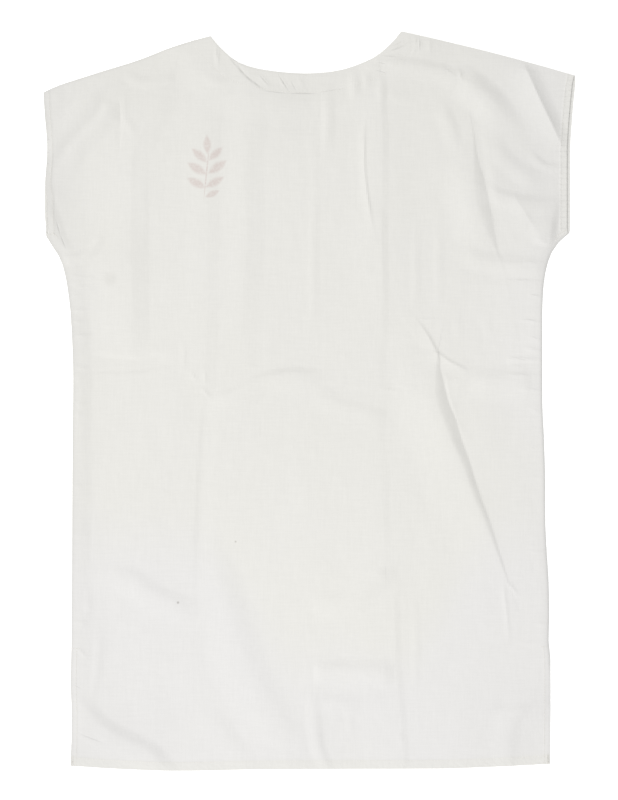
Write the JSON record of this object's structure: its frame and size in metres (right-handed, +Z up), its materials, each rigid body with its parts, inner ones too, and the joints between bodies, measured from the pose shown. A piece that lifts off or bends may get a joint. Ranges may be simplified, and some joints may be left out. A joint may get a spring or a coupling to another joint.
{
  "type": "sauna dress laid flat",
  "caption": "Loose white cotton sauna dress with cap sleeves and side vents, laid out flat with its back upwards.",
  "frame": {"origin": "centre of the bounding box in X and Y, at the underside that rests on the surface", "axes": "+X across the dress towards the wearer's right, +Y from the hem to the neck, +Z up off the surface"},
  "size_m": [0.6372, 0.8868, 0.0095],
  "materials": {
    "panel_cotton": "matt cotton plain weave, pressed",
    "facing_cotton": "matt cotton plain weave, pressed",
    "sewing_thread": "white spun thread"
  },
  "bodies": {
    "root": {"front_panel": "panel_cotton", "back_panel": "panel_cotton", "back_neck_facing": "facing_cotton"}
  },
  "joints": []
}
